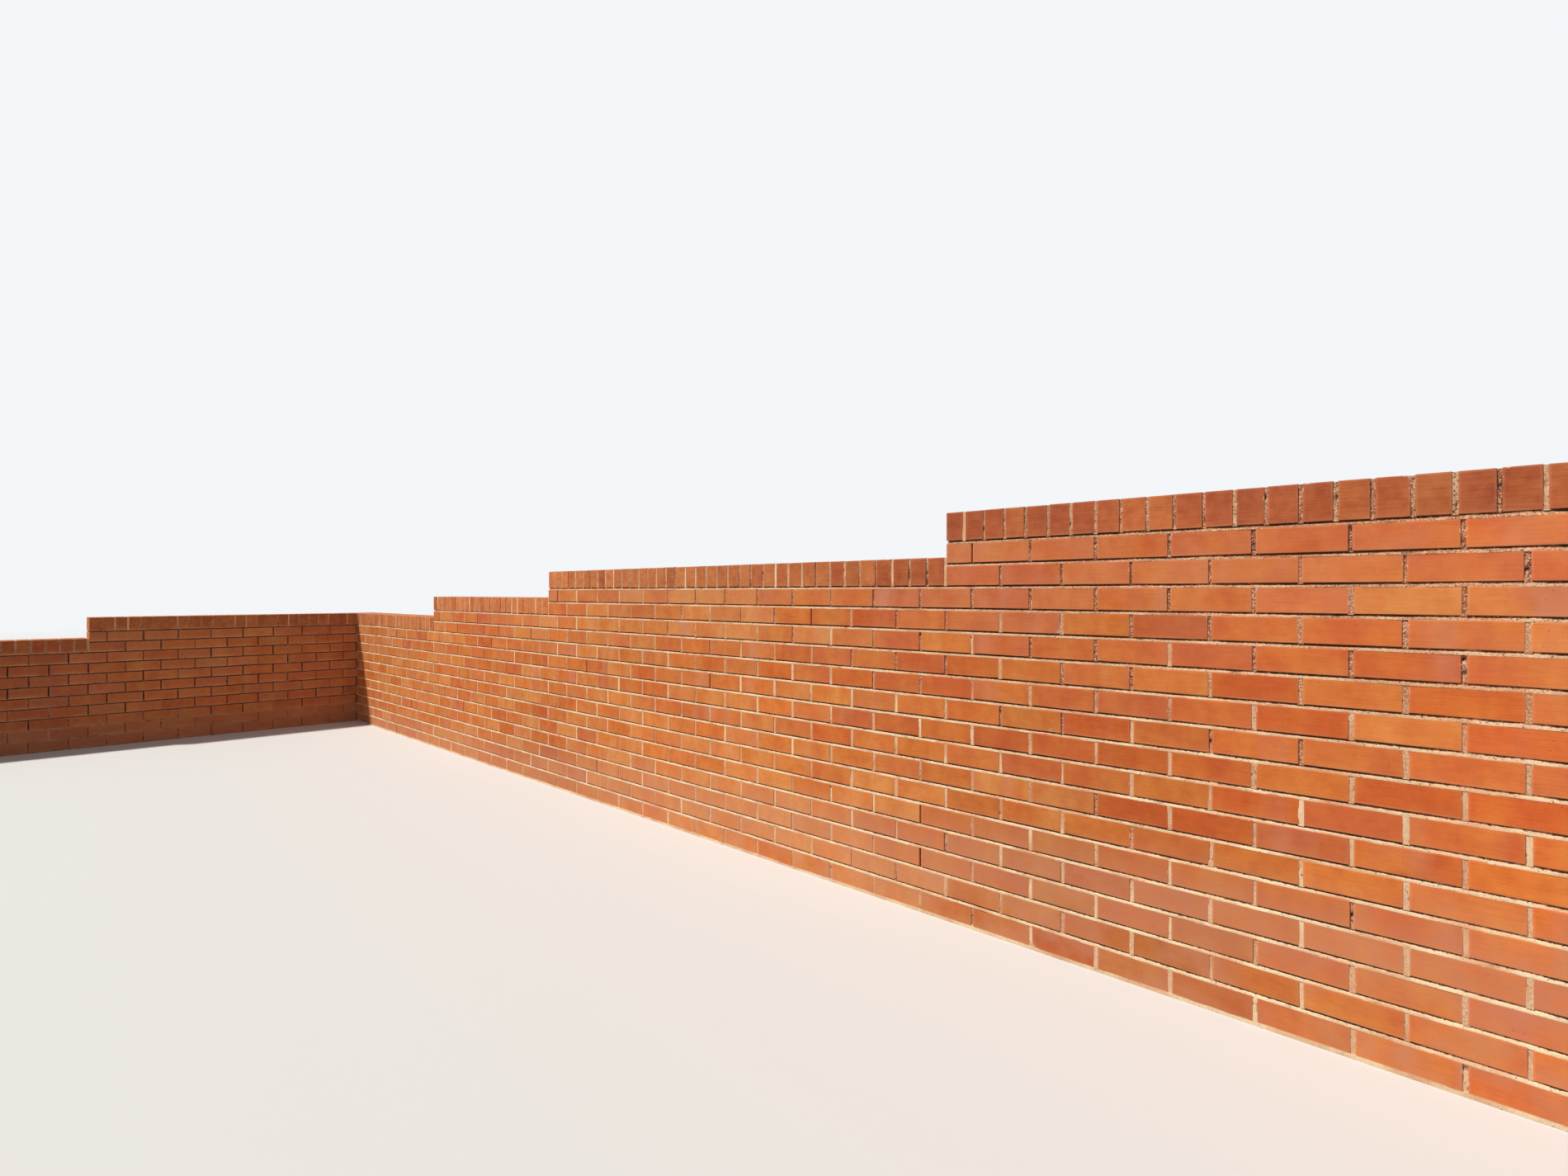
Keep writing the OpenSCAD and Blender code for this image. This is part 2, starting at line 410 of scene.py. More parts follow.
def add_brick(heap, template, low, high, rng, wall, part, flip=False):
    """One brick in the box from low to high. With flip its front is on the +v side."""
    shares, metres, faces = template
    low = low + slack(rng)
    size = high - slack(rng) - low
    points, out = rounded(template, size)
    to_faces = np.sort(np.minimum(points, size - points), axis=1)
    rim = np.clip(1 - to_faces[:, 1] / RIM, 0, 1) * np.clip(0.55 + points[:, 2] / size[2], 0, 1)
    if template is STRETCHER:
        rim = np.where(shares[:, 1] + metres[:, 1] > 0, 0, rim)
    # A painted highlight along the foot of the brick
    lip = np.clip(FOOT_HIGHLIGHT[wall] * (1 - points[:, 2] / FOOT_HIGHLIGHT_H), 0, 1)
    fill = np.zeros(len(points))
    if rng.random() < CHIPPED:
        points, fill = chip(points, size, rng)
        fill = fill * (rng.random() < FILLED)
    set_by_hand(points, size, rng)
    if flip:
        points[:, 1] = size[1] - points[:, 1]
        faces = [face[::-1] for face in faces]
        out = out * [1, -1, 1]
    points = points + low
    points = points - out * (WARP * (0.5 + 0.5 * noise(points, WARP_CELL, 11)))[:, None]
    lip = lip * np.clip(FOOT_HIGHLIGHT_SHARE[0] + FOOT_HIGHLIGHT_SHARE[1] * noise(points, FOOT_HIGHLIGHT_CELL, 41), 0, 1)
    centre = points.mean(axis=0)[None]
    stray = straying(TONE_STRAY, centre, 17, rng)
    tone = np.clip(np.interp(low[0], *TONES[wall, part]) + SPREAD[wall] * stray, 0, 1)
    value = np.interp(low[0], *VALUES[wall, part]) + straying(VALUE_STRAY, centre, 19, rng)
    bloom = SPREAD[wall] * rng.random()
    haze = HAZE[wall] + rng.random() ** 2
    heap.add(points, faces, rim=rim, fill=fill, lip=lip, tone=tone, value=value, bloom=bloom, haze=haze)


def course_of(z):
    """The number of the course whose bricks start at z"""
    return round((z - JOINT) / GAUGE) + 1


def first_edge(wall, course):
    """Where the bond has a brick's edge: the through courses of a wall start in the collar joint"""
    through = (course % 2 == 1) == (wall == LONG)
    return JOINT / 2 if through else HALF_T + JOINT


def bond(wall, low, high):
    """The bricks of one course, as pairs of distances along the wall"""
    edge = first_edge(wall, course_of(low[2]))
    number = math.floor((low[0] - edge) / PITCH + 0.01)
    bricks = []
    while edge + number * PITCH < high[0] - JOINT:
        start = max(edge + number * PITCH, low[0])
        end = min(edge + number * PITCH + BRICK_L, high[0])
        if end - start > 2 * JOINT:
            bricks.append((start, end))
        number += 1
    return bricks


def leaf_bricks(node, material, seed):
    """The stretchers of one leaf of a lift, in place of its course slabs"""
    wall, heap = wall_of(node), Heap()
    rng = np.random.default_rng(seed)
    for low, high in solids(node):
        for start, end in bond(wall, low, high):
            a, b = low.copy(), high.copy()
            a[0], b[0] = start, end
            add_brick(heap, STRETCHER, a, b, rng, wall, "face", "back" in node)
    heap.piece(node.replace("leaf", "bricks"), wall, material, "face_brick", node)


def whole_bricks(node, material, slot, seed):
    """The headers or the coping bricks of a node, one for each of its solids"""
    wall, heap = wall_of(node), Heap()
    rng = np.random.default_rng(seed)
    part = "coping" if slot == "coping_brick" else "face"
    for low, high in solids(node):
        add_brick(heap, WHOLE, low, high, rng, wall, part)
    heap.piece(node + "_bricks", wall, material, slot, node)


# Mortar

UPRIGHT = lattice(stops((0.0,), 3), stops((0.0,), 1), stops((0.0,), 10))
TOOTH = lattice(stops((0.0,), 3), stops((0.0,), 8), stops((0.0,), 8))


def depth_of(points, pitted, seed):
    """Unevenness and pits of a mortar face at the points: depth, and how much of it is pit"""
    wave = noise(points, SLOW_WAVE[0], seed) * SLOW_WAVE[1]
    wave += noise(points, FAST_WAVE[0], seed + 1) * FAST_WAVE[1]
    pit = np.clip(noise(points, PIT_CELL, seed + 2) - PIT_FROM, 0, 1) * pitted * PIT_DEPTH * PIT_SLOPE
    return wave, np.minimum(pit, PIT_DEPTH)


def add_bar(heap, template, low, high, rake, pitted, seed, grey=0.0, dirt=0.0, bed=None, top=False):
    """A closed bar of mortar from low to high, set back by rake. bed is a knee and a profile."""
    shares, metres, faces = template
    low, high = np.array(low, dtype=float), np.array(high, dtype=float)
    points = low + shares * (high - low) + metres
    wave, pit = depth_of(points, pitted, seed)
    depth = np.full(len(points), rake)
    if bed is not None:
        knee, profile = bed
        inner = metres[:, 2] > 0
        points[inner, 2] += knee[inner]
        along = points * [1, 1, 0]
        firm = 1 + FIRM_SLOW[1] * noise(along, FIRM_SLOW[0], 23)
        firm += FIRM_FAST[1] * noise(along, FIRM_FAST[0], 29)
        depth = np.interp(points[:, 2] - low[2] - BED_LAP - knee, *zip(*profile)) * firm
        # Shade painted on the bed where it is set far back
        dirt = np.clip((depth - RECESS_SHADE_FROM) / RECESS_SHADE_OVER, 0, 1)
        lowest = shares[:, 2] + metres[:, 2] == 0
        points[lowest, 2] += RAGGED * noise(along, RAGGED_CELL, 37)[lowest]
    depth = np.maximum(depth + wave, SHALLOWEST) + pit
    side = np.sign(points[:, 1] - (low[1] + high[1]) / 2)
    points[:, 1] -= side * depth
    if top:
        upper = points[:, 2] > high[2] - 1e-6
        points[upper, 2] -= np.maximum(wave, 0)[upper] + PITTED_TOP * pit[upper]
    # Painted shade in the deepest pits
    hole = np.clip(pit / (PIT_DEPTH * 0.5), 0, 1)
    heap.add(points, faces, hole=hole, grey=grey, pitted=pitted, dirt=dirt)


def age_at(wall, along, z):
    """How weathered the mortar is: 0 to 1 on the long wall, and a little more on the return"""
    if wall == RETURN:
        return np.interp(z, *AGE_RETURN) + 0 * along
    return np.clip(z / WORST_Z, 0, 1) * np.interp(along, *AGE_ALONG)


def bed_bar(heap, wall, start, end, z, seed):
    """The mortar of one bed joint, right through the wall"""
    cells = max(2, round((end - start) / BED_CELL))
    rows = [(0.0, 0.0), (0.0, BED_LAP), (0.0, BED_LAP + KNEE_FADE), (1.0, 0.0)]
    template = lattice(stops((0.0,), cells), stops((0.0,), 1), rows)
    low = (start, -HALF_T, max(z - BED_LAP, 0))
    high = (end, HALF_T, z + JOINT + OVERLAP)
    age = age_at(wall, start + template[0][:, 0] * (end - start), z)
    bed = None
    if z > GAUGE / 2 and wall == LONG:
        bed = (KNEE_NEW + (KNEE_WORN - KNEE_NEW) * age, STRUCK)
    elif z > GAUGE / 2:
        bed = (KNEE_NEW + 0 * age, LEDGE if z > 3 * GAUGE - JOINT else FLUSH)
    pitted = BED_PITTED[0] + BED_PITTED[1] * age
    grey = BED_GREY[0] + BED_GREY[1] * age ** 2
    add_bar(heap, template, low, high, BED_RAKE, pitted, seed, grey, bed=bed)


def add_upright(heap, template, start, end, z, top_z, rng, worn, brown, open_share=0.0, **more):
    """The mortar of one upright joint, right through the wall. Worn ones are brown and pitted."""
    rough = rng.random() < worn
    rake = rng.uniform(*(WORN_RAKE if rough else FRESH_RAKE))
    pitted = rng.uniform(*WORN_PITTED) if rough else rng.choice(FRESH_PITTED)
    grey = brown + rng.uniform(*(WORN_GREY if rough else FRESH_GREY))
    dirt = 0.0
    # Open joints are set far back and get painted shade in the recess
    if rng.random() < open_share:
        rake = rng.uniform(*OPEN_RAKE)
        dirt = rng.uniform(*OPEN_SHADE)
    low = (start - OVERLAP, -HALF_T, z - OVERLAP)
    high = (end + OVERLAP, HALF_T, top_z)
    add_bar(heap, template, low, high, rake, pitted, rng.integers(1 << 20), grey, dirt, **more)


def worn_chance(wall, along, z):
    """The chance that an upright joint is worn, from its age and from patches of the wall"""
    patch = noise(np.array([[along, 0.0, z]]), PATCH_CELL, 31)[0]
    aged = WORN_SLOPE * (age_at(wall, along, z) - WORN_FROM)
    return np.clip(aged + WORN_PATCH * patch, *WORN_CHANCE)


def add_collar(heap, start, end, z, seed):
    """A stretch of the joint between the leaves, for a course that no header closes"""
    low = (start, -JOINT / 2 - OVERLAP, z - OVERLAP)
    high = (end, JOINT / 2 + OVERLAP, z + BRICK_H + OVERLAP)
    add_bar(heap, UPRIGHT, low, high, 0.0, 0.0, seed)


def upright_places(wall, slab, at_corner, end):
    """Where a course has its upright joints between start and end"""
    bricks = bond(wall, *slab)
    places = [(b, b + JOINT) for a, b in bricks if b + JOINT < end]
    first = bricks[0][0]
    if at_corner and first > 0:
        places.insert(0, (first - JOINT, first))
    return places


def lift_mortar(lift, material, seed):
    """Beds, upright joints and end joints of a lift, in place of its mortar node"""
    node = lift + "_mortar"
    wall, heap = wall_of(node), Heap()
    rng = np.random.default_rng(seed)
    box_low, box_high = wall_box(node)
    far = wall_box(lift + "_back_leaf")[1][0] - END_RAKE
    at_corner = box_low[0] < HALF_T
    for slab in solids(lift + "_back_leaf"):
        z = slab[0][2]
        course = course_of(z)
        bed_start = HALF_T - END_RAKE if at_corner and wall == RETURN else box_low[0]
        bed_end = box_high[0] if course == 1 else far
        bed_bar(heap, wall, bed_start, bed_end, z - JOINT, seed + course)
        top_z = z + BRICK_H + OVERLAP
        open_share = OPEN_RETURN if wall == RETURN and z > 2 * GAUGE else OPEN_LONG
        for start, end in upright_places(wall, slab, at_corner, box_high[0]):
            worn = worn_chance(wall, start, z)
            brown = BROWNED * age_at(wall, start, z) ** 2
            add_upright(heap, UPRIGHT, start, end, z, top_z, rng, worn, brown, open_share)
        if course % 2 == 0:
            add_collar(heap, far - COLLAR_REACH, far - COLLAR_RAKE, z, seed)
        if course % 2 == 0 and not at_corner:
            add_collar(heap, box_low[0] + COLLAR_RAKE, box_low[0] + COLLAR_REACH, z, seed)
    heap.piece(node + "_joints", wall, material, "mortar", node)


def coping_mortar(bay, material, seed):
    """The bed and the upright joints of a bay's coping, in place of its mortar node"""
    node = f"coping_{bay}_mortar"
    wall, heap = wall_of(node), Heap()
    rng = np.random.default_rng(seed)
    bricks = solids(f"coping_{bay}")
    box_low, box_high = wall_box(node)
    bed_bar(heap, wall, box_low[0], box_high[0], box_low[2], seed)
    gaps = [(a[1][0], b[0][0]) for a, b in zip(bricks, bricks[1:])]
    if box_high[0] > bricks[-1][1][0]:
        gaps.append((bricks[-1][1][0], box_high[0]))
    if box_low[0] < bricks[0][0][0]:
        gaps.append((bricks[0][0][0] - JOINT, bricks[0][0][0]))
    z, raked_z = bricks[0][0][2], bricks[0][1][2] - TOP_RAKE
    for start, end in gaps:
        worn = COPING_WORN * age_at(wall, start, z) - COPING_FRESH
        if wall == RETURN:
            worn = np.interp(start, *RETURN_COPING_WORN)
        top_z = raked_z + rng.uniform(0, TOP_STRAY)
        add_upright(heap, TOOTH, start, end, z, top_z, rng, worn, 0.0, top=True)
    heap.piece(node + "_joints", wall, material, "mortar", node)


# Colours, all in linear light

# Reds, with their place on the scale of tones
FACE_REDS = [
    (0.00, (0.550, 0.108, 0.020)),
    (0.35, (0.605, 0.156, 0.026)),
    (0.65, (0.640, 0.198, 0.036)),
    (1.00, (0.690, 0.265, 0.066)),
]
COPING_REDS = [
    (0.00, (0.400, 0.090, 0.026)),
    (0.25, (0.445, 0.105, 0.029)),
    (0.60, (0.510, 0.145, 0.038)),
    (1.00, (0.620, 0.205, 0.058)),
]

# Colours of mortar from fresh to the most weathered
MORTAR_BROWNS = [
    (0.00, (0.95, 0.75, 0.49)),
    (0.35, (0.74, 0.39, 0.21)),
    (0.70, (0.53, 0.18, 0.08)),
    (1.00, (0.30, 0.10, 0.05)),
]

# On the bricks: marbling and drag marks of the clay, bloom of the kiln, what lies on the faces, a
# painted highlight along their feet and painted shade in pinholes
MOTTLE = (0.80, 0.66, 0.62)
DRAG = (0.60, 0.48, 0.48)
GRAIN = (0.70, 0.60, 0.55)
BLOOM = (0.58, 0.25, 0.17)
DUST = (0.58, 0.26, 0.15)
PALE_HAZE = (0.64, 0.29, 0.18)
RUBBED = (0.76, 0.44, 0.30)
FOOT_HIGHLIGHT_COLOUR = (0.94, 0.42, 0.18)
SMEAR = (0.72, 0.56, 0.42)
LIME = (0.75, 0.55, 0.42)
PINHOLE_SHADE = (0.10, 0.035, 0.02)

# In the mortar: sand and lumps, bared grains, and painted shade in small pits, in set-back parts and in
# deep pits
SAND = (0.60, 0.49, 0.41)
LUMP = (0.55, 0.44, 0.36)
PALE_GRAIN = (0.92, 0.70, 0.54)
DARK_GRAIN = (0.16, 0.055, 0.028)
SMALL_PIT_SHADE = (0.06, 0.038, 0.026)
RECESS_SHADE_COLOUR = (0.085, 0.040, 0.024)
DEEP_PIT_SHADE = (0.035, 0.022, 0.016)


# Materials

class Nodes:
    """Short calls to build a node tree"""

    def __init__(self, name):
        self.material = bpy.data.materials.new(name)
        self.material.use_nodes = True
        self.tree = self.material.node_tree
        self.shader = self.tree.nodes["Principled BSDF"]
        self.place = self.new("ShaderNodeTexCoord").outputs["Object"]

    def new(self, kind, **values):
        node = self.tree.nodes.new(kind)
        for key, value in values.items():
            setattr(node, key, value)
        return node

    def link(self, source, target):
        if hasattr(source, "is_linked"):
            self.tree.links.new(source, target)
        else:
            target.default_value = source

    def mark(self, name):
        return self.new("ShaderNodeAttribute", attribute_name=name).outputs["Fac"]

    def stretch(self, sx, sy, sz):
        node = self.new("ShaderNodeMapping")
        node.inputs["Scale"].default_value = (sx, sy, sz)
        self.link(self.place, node.inputs["Vector"])
        return node.outputs["Vector"]

    def noise(self, vector, scale, detail, roughness=0.55):
        node = self.new("ShaderNodeTexNoise")
        self.link(vector, node.inputs["Vector"])
        node.inputs["Scale"].default_value = scale
        node.inputs["Detail"].default_value = detail
        node.inputs["Roughness"].default_value = roughness
        return node.outputs["Fac"]

    def ramp(self, value, *colours):
        node = self.new("ShaderNodeValToRGB")
        ramp = node.color_ramp
        while len(ramp.elements) < len(colours):
            ramp.elements.new(0.5)
        for element, (at, colour) in zip(ramp.elements, colours):
            element.position = at
            element.color = (*colour, 1)
        self.link(value, node.inputs["Fac"])
        return node.outputs["Color"]

    def range(self, value, a, b, c=0.0, d=1.0):
        node = self.new("ShaderNodeMapRange")
        for key, number in (("From Min", a), ("From Max", b), ("To Min", c), ("To Max", d)):
            node.inputs[key].default_value = number
        self.link(value, node.inputs["Value"])
        return node.outputs["Result"]

    def math(self, what, a, b):
        node = self.new("ShaderNodeMath", operation=what)
        self.link(a, node.inputs[0])
        self.link(b, node.inputs[1])
        return node.outputs[0]

    def mix(self, share, a, b, blend="MIX"):
        node = self.new("ShaderNodeMix", data_type="RGBA", blend_type=blend)
        self.link(share, node.inputs["Factor"])
        self.link(a, node.inputs["A"])
        self.link(b if hasattr(b, "is_linked") else (*b, 1), node.inputs["B"])
        return node.outputs["Result"]

    def grey(self, value):
        node = self.new("ShaderNodeCombineColor")
        for socket in node.inputs:
            self.link(value, socket)
        return node.outputs["Color"]

    def bump(self, height, distance, strength, under=None):
        node = self.new("ShaderNodeBump")
        node.inputs["Distance"].default_value = distance
        node.inputs["Strength"].default_value = strength
        self.link(height, node.inputs["Height"])
        if under is not None:
            self.link(under, node.inputs["Normal"])
        return node.outputs["Normal"]

    def finish(self, colour, roughness, normal, specular=0.3):
        self.link(colour, self.shader.inputs["Base Color"])
        self.link(roughness, self.shader.inputs["Roughness"])
        self.link(normal, self.shader.inputs["Normal"])
        self.shader.inputs["Specular IOR Level"].default_value = specular
        return self.material


def splash_line(n, x):
    """How high the thickest dust reaches, from the corner to the long end"""
    return n.range(x, 2.5, 8.0, 0.0, 0.27)


def brick_material(name, reds, streak, fineness, mottled, bloom, pale):
    """Smooth extruded clay: reds are the colours from the hardest to the softest burnt"""
    n = Nodes(name)
    soft = n.noise(n.stretch(9, 9, 5), 1.0, 2.0, 0.5)
    drag = n.noise(n.stretch(11, 11, fineness), 1.0, 3.0, 0.6)
    mottle = n.noise(n.place, 30.0, 4.0, 0.6)
    grain = n.noise(n.place, 480.0, 2.0, 0.6)
    tone = n.math("ADD", n.mark("tone"), n.range(soft, 0.3, 0.7, -0.28, 0.28))
    value = n.grey(n.range(n.mark("value"), -8, 8, 0.52, 1.48))
    colour = n.mix(1.0, n.ramp(tone, *reds), value, "MULTIPLY")
    colour = n.mix(n.range(mottle, 0.40, 0.72, 0.0, mottled), colour, MOTTLE, "MULTIPLY")
    colour = n.mix(n.range(drag, 0.45, 0.72, 0.0, streak), colour, DRAG, "MULTIPLY")
    colour = n.mix(n.range(grain, 0.5, 0.8, 0.0, 0.22), colour, GRAIN, "MULTIPLY")
    # Kiln bloom: soft dull bands across some bricks
    band = n.noise(n.stretch(10, 10, 2), 1.0, 1.0, 0.5)
    share = n.math("MULTIPLY", n.range(band, 0.50, 0.72), n.range(n.mark("bloom"), 0.62, 0.95))
    colour = n.mix(n.math("MULTIPLY", share, bloom), colour, BLOOM)
    # Dust splashed on the lowest courses, and a thin pale haze towards the top
    place = n.new("ShaderNodeSeparateXYZ")
    n.link(n.place, place.inputs["Vector"])
    above = n.math("SUBTRACT", place.outputs["Z"], splash_line(n, place.outputs["X"]))
    cloud = n.noise(n.stretch(5, 5, 7), 1.0, 3.0, 0.6)
    dust = n.math("MULTIPLY", n.range(above, 0.23, 0.07), n.range(mottle, 0.30, 0.65, 0.55, 1.0))
    bare = n.math("MULTIPLY", n.range(above, 0.0, -0.12), n.range(cloud, 0.40, 0.60))
    dust = n.math("MULTIPLY", dust, n.range(bare, 0.0, 1.0, 1.0, 0.15))
    colour = n.mix(n.math("MULTIPLY", dust, 0.55), colour, DUST)
    high = n.range(place.outputs["Z"], 0.95, 1.40, 0.0, pale)
    haze = n.math("MULTIPLY", high, n.range(cloud, 0.30, 0.70))
    haze = n.math("ADD", haze, n.math("MULTIPLY", n.mark("haze"), 0.5 * pale))
    colour = n.mix(haze, colour, PALE_HAZE)
    # Rubbed arrises, with mortar smeared over them here and there
    colour = n.mix(n.math("MULTIPLY", n.mark("rim"), 0.16), colour, RUBBED)
    # A painted highlight along the foot of each brick
    colour = n.mix(n.math("MULTIPLY", n.mark("lip"), 0.90), colour, FOOT_HIGHLIGHT_COLOUR)
    smear = n.math("MULTIPLY", n.mark("rim"), n.range(n.noise(n.place, 45.0, 3.0, 0.6), 0.54, 0.68))
    smear = n.math("MAXIMUM", smear, n.mark("fill"))
    colour = n.mix(n.range(smear, 0.35, 0.75, 0.0, 0.75), colour, SMEAR)
    # Lime specks, and pinholes with shade painted into them
    speck = n.new("ShaderNodeTexVoronoi")
    n.link(n.place, speck.inputs["Vector"])
    speck.inputs["Scale"].default_value = 60.0
    dot = n.range(speck.outputs["Distance"], 0.075, 0.05)
    white = n.range(n.noise(n.place, 9.0, 2.0), 0.60, 0.66)
    colour = n.mix(n.math("MULTIPLY", n.math("MULTIPLY", dot, white), 0.7), colour, LIME)
    hole = n.math("MULTIPLY", dot, n.range(n.noise(n.place, 7.0, 2.0), 0.40, 0.35))
    colour = n.mix(n.math("MULTIPLY", hole, 0.8), colour, PINHOLE_SHADE)
    normal = n.bump(drag, 0.0004, 0.6)
    normal = n.bump(grain, 0.0003, 0.5, normal)
    normal = n.bump(n.math("SUBTRACT", 1.0, hole), 0.0012, 1.0, normal)
    return n.finish(colour, n.range(mottle, 0.3, 0.7, 0.74, 0.86), normal)


def mortar_material():
    """Cream sand and cement, coarse, browner and pitted where it is worn, with shade painted into pits
    and recesses
    """
    n = Nodes("mortar")
    broad = n.noise(n.place, 7.0, 3.0, 0.6)
    sand = n.noise(n.place, 620.0, 3.0, 0.7)
    lump = n.noise(n.place, 150.0, 3.0, 0.6)
    grey = n.math("ADD", n.math("MULTIPLY", n.mark("grey"), 0.8), n.range(broad, 0.42, 0.75, 0.0, 0.35))
    colour = n.ramp(grey, *MORTAR_BROWNS)
    colour = n.mix(n.range(sand, 0.45, 0.75, 0.0, 0.40), colour, SAND, "MULTIPLY")
    colour = n.mix(n.range(lump, 0.52, 0.66, 0.0, 0.30), colour, LUMP, "MULTIPLY")
    # Pale and dark grains stand out where the skin of the mortar has gone
    grain = n.noise(n.place, 230.0, 2.0, 0.6)
    bared = n.range(n.mark("grey"), 0.1, 0.7)
    pale = n.math("MULTIPLY", n.range(grain, 0.55, 0.62), n.range(n.mark("grey"), 0.8, 1.0, 1.0, 0.2))
    pale = n.math("MULTIPLY", pale, bared)
    dark = n.math("MULTIPLY", n.range(grain, 0.52, 0.44), bared)
    colour = n.mix(n.math("MULTIPLY", pale, 0.65), colour, PALE_GRAIN)
    colour = n.mix(n.math("MULTIPLY", dark, 0.85), colour, DARK_GRAIN)
    # Small pits, with shade painted into them
    cells = n.noise(n.place, 190.0, 2.0, 0.5)
    edge = n.math("SUBTRACT", 0.72, n.math("MULTIPLY", n.mark("pitted"), 0.17))
    pits = n.range(n.math("SUBTRACT", cells, edge), 0.0, 0.05)
    colour = n.mix(n.math("MULTIPLY", pits, 0.85), colour, SMALL_PIT_SHADE)
    # Shade painted where the mortar is set far back, with a ragged edge
    tatter = n.range(n.noise(n.place, 90.0, 3.0, 0.7), 0.3, 0.7, -0.45, 0.45)
    ragged = n.math("ADD", n.mark("dirt"), tatter)
    dirt = n.math("MULTIPLY", n.range(ragged, 0.40, 0.75), n.range(lump, 0.30, 0.55, 0.97, 0.88))
    colour = n.mix(dirt, colour, RECESS_SHADE_COLOUR)
    # Painted shade in the deepest pits
    colour = n.mix(n.mark("hole"), colour, DEEP_PIT_SHADE)
    normal = n.bump(sand, 0.0010, 0.7)
    normal = n.bump(lump, 0.0015, 0.6, normal)
    normal = n.bump(n.math("SUBTRACT", 1.0, pits), 0.003, 0.9, normal)
    return n.finish(colour, 0.93, normal, 0.2)


def build():
    """All pieces of the wall, from its lifts to its coping"""
    face = brick_material("face_brick", FACE_REDS, 0.35, 400, 0.55, 0.45, 0.26)
    coping = brick_material("coping_brick", COPING_REDS, 0.5, 260, 1.0, 0.0, 0.05)
    mortar = mortar_material()
    lifts = ["long_lift_1", "long_lift_2", "long_lift_3", "long_lift_4",
             "return_lift_1", "return_lift_2"]
    for number, lift in enumerate(lifts):
        leaf_bricks(lift + "_front_leaf", face, 100 + number)
        leaf_bricks(lift + "_back_leaf", face, 200 + number)
        lift_mortar(lift, mortar, 3000 + 100 * number)
    headers = ["long_end_headers", "step_a_headers", "step_b_headers",
               "step_c_headers", "return_end_headers", "step_e_headers"]
    for number, node in enumerate(headers):
        whole_bricks(node, face, "header_brick", 400 + number)
    for number, bay in enumerate("abcdef"):
        whole_bricks(f"coping_{bay}", coping, "coping_brick", 500 + number)
        coping_mortar(bay, mortar, 6000 + 100 * number)


# Stage, light and camera: lengths in metres, the focal length in pixels of the photograph

BACKGROUND = (0.90, 0.92, 0.94)
FLOOR_COLOUR = (0.47, 0.46, 0.44)
FLOOR_SHOWN = (0.66, 0.66, 0.65)
FLOOR_REACH = 120.0
FLOOR_FADE = (13.0, 30.0)
FLOOR_Z = -0.0005
SKY_COLOUR = (0.93, 0.96, 1.0)
SKY_STRENGTH = 0.20
SUN_COLOUR = (1.0, 0.97, 0.92)
SUN_FROM = (-0.42, -0.62, 1.05)
SUN_STRENGTH = 3.9
SUN_SPREAD = 4.0
EYE = (8.9147, -2.7914, 1.2740)
HEADING = math.radians(-45.56)
TILT = math.radians(0.291)
ROLL = math.radians(-0.010)
FOCAL_PX = 992.5
PHOTO_W = 1900
SENSOR_W = 36.0
CLIP_END = 200.0


def seen_directly(nodes, links):
    """1 for the rays that show a background: from the camera, a reflection or through glass"""
    path = nodes.new("ShaderNodeLightPath")
    total = path.outputs["Is Camera Ray"]
    for name in ("Is Glossy Ray", "Is Transmission Ray"):
        most = nodes.new("ShaderNodeMath")
        most.operation = "MAXIMUM"
        links.new(total, most.inputs[0])
        links.new(path.outputs[name], most.inputs[1])
        total = most.outputs[0]
    return total


def floor():
    """A matt pale floor that passes into the background far from the wall"""
    material = bpy.data.materials.new("floor")
    material.use_nodes = True
    nodes, links = material.node_tree.nodes, material.node_tree.links
    shader = nodes["Principled BSDF"]
    shader.inputs["Roughness"].default_value = 0.9
    tint = nodes.new("ShaderNodeMix")
    tint.data_type = "RGBA"
    tint.inputs["A"].default_value = (*FLOOR_COLOUR, 1)
    tint.inputs["B"].default_value = (*FLOOR_SHOWN, 1)
    links.new(seen_directly(nodes, links), tint.inputs["Factor"])
    links.new(tint.outputs["Result"], shader.inputs["Base Color"])
    place = nodes.new("ShaderNodeTexCoord")
    reach = nodes.new("ShaderNodeVectorMath")
    reach.operation = "LENGTH"
    far = nodes.new("ShaderNodeMapRange")
    far.inputs["From Min"].default_value = FLOOR_FADE[0]
    far.inputs["From Max"].default_value = FLOOR_FADE[1]
    share = nodes.new("ShaderNodeMath")
    share.operation = "MULTIPLY"
    glow = nodes.new("ShaderNodeEmission")
    glow.inputs["Color"].default_value = (*BACKGROUND, 1)
    mix = nodes.new("ShaderNodeMixShader")
    links.new(place.outputs["Object"], reach.inputs[0])
    links.new(reach.outputs["Value"], far.inputs["Value"])
    links.new(far.outputs["Result"], share.inputs[0])
    links.new(seen_directly(nodes, links), share.inputs[1])
    links.new(share.outputs[0], mix.inputs["Fac"])
    links.new(shader.outputs[0], mix.inputs[1])
    links.new(glow.outputs[0], mix.inputs[2])
    links.new(mix.outputs[0], nodes["Material Output"].inputs["Surface"])
    mesh = bpy.data.meshes.new("floor")
    corners = [(-FLOOR_REACH, -FLOOR_REACH), (FLOOR_REACH, -FLOOR_REACH),
               (FLOOR_REACH, FLOOR_REACH), (-FLOOR_REACH, FLOOR_REACH)]
    mesh.from_pydata([(x, y, FLOOR_Z) for x, y in corners], [], [(0, 1, 2, 3)])
    mesh.materials.append(material)
    obj = bpy.data.objects.new("floor", mesh)
    bpy.context.scene.collection.objects.link(obj)


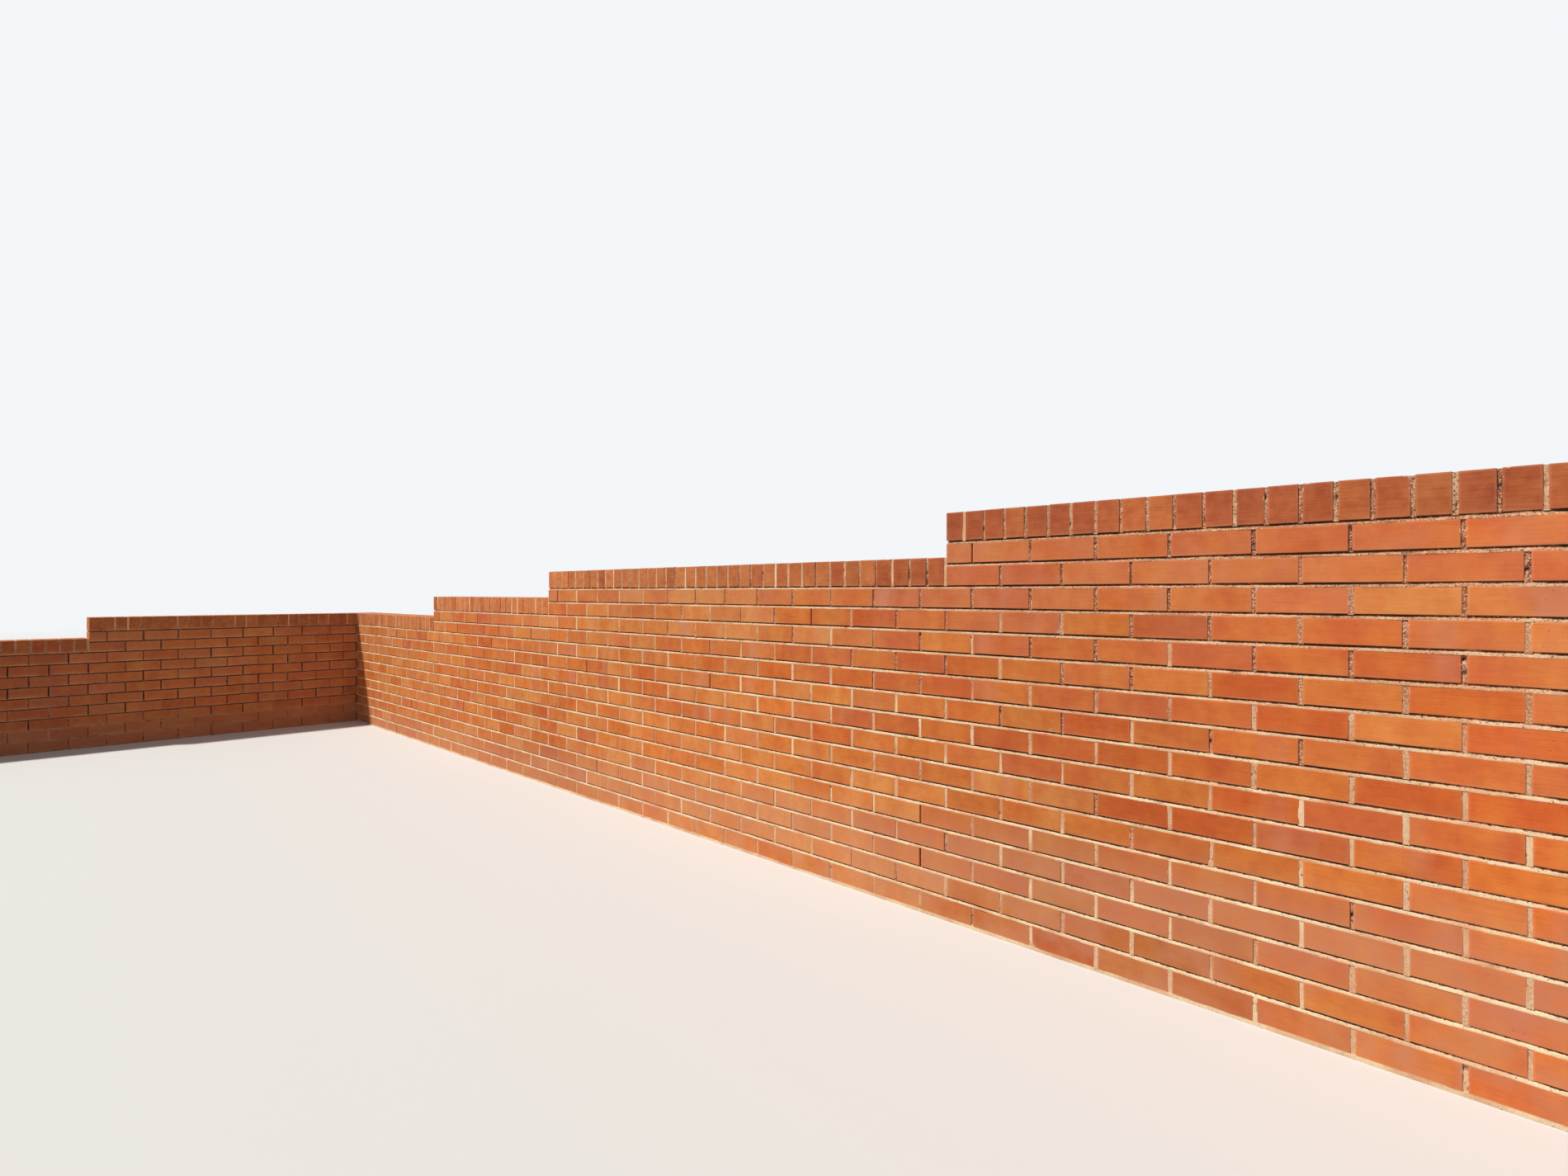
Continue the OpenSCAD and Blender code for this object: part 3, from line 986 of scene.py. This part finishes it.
def world():
    """Even light from all around, in front of a pale background"""
    studio = bpy.data.worlds.new("studio")
    bpy.context.scene.world = studio
    studio.use_nodes = True
    nodes, links = studio.node_tree.nodes, studio.node_tree.links
    nodes.clear()
    out = nodes.new("ShaderNodeOutputWorld")
    mix = nodes.new("ShaderNodeMixShader")
    light = nodes.new("ShaderNodeBackground")
    light.inputs["Color"].default_value = (*SKY_COLOUR, 1)
    light.inputs["Strength"].default_value = SKY_STRENGTH
    shown = nodes.new("ShaderNodeBackground")
    shown.inputs["Color"].default_value = (*BACKGROUND, 1)
    links.new(seen_directly(nodes, links), mix.inputs["Fac"])
    links.new(light.outputs[0], mix.inputs[1])
    links.new(shown.outputs[0], mix.inputs[2])
    links.new(mix.outputs[0], out.inputs["Surface"])


def sun():
    """A broad soft sun from the garden side, so that the raked joints are in shadow"""
    data = bpy.data.lights.new("key", "SUN")
    data.energy = SUN_STRENGTH
    data.angle = math.radians(SUN_SPREAD)
    data.color = SUN_COLOUR
    obj = bpy.data.objects.new("key", data)
    obj.rotation_euler = Vector(SUN_FROM).to_track_quat("Z", "Y").to_euler()
    bpy.context.scene.collection.objects.link(obj)


def camera():
    """The photograph's own view"""
    ahead = Vector((math.sin(HEADING) * math.cos(TILT),
                    math.cos(HEADING) * math.cos(TILT),
                    math.sin(TILT)))
    right = Vector((math.cos(HEADING), -math.sin(HEADING), 0))
    up = right.cross(ahead)
    side = right * math.cos(ROLL) + up * math.sin(ROLL)
    top = up * math.cos(ROLL) - right * math.sin(ROLL)
    data = bpy.data.cameras.new("camera")
    data.sensor_width = SENSOR_W
    data.lens = data.sensor_width * FOCAL_PX / PHOTO_W
    data.clip_end = CLIP_END
    obj = bpy.data.objects.new("camera", data)
    obj.matrix_world = Matrix((
        (side.x, top.x, -ahead.x, EYE[0]),
        (side.y, top.y, -ahead.y, EYE[1]),
        (side.z, top.z, -ahead.z, EYE[2]),
        (0, 0, 0, 1)))
    bpy.context.scene.collection.objects.link(obj)
    bpy.context.scene.camera = obj


camera()
build()
floor()
world()
sun()
bpy.context.scene.view_settings.view_transform = "Standard"
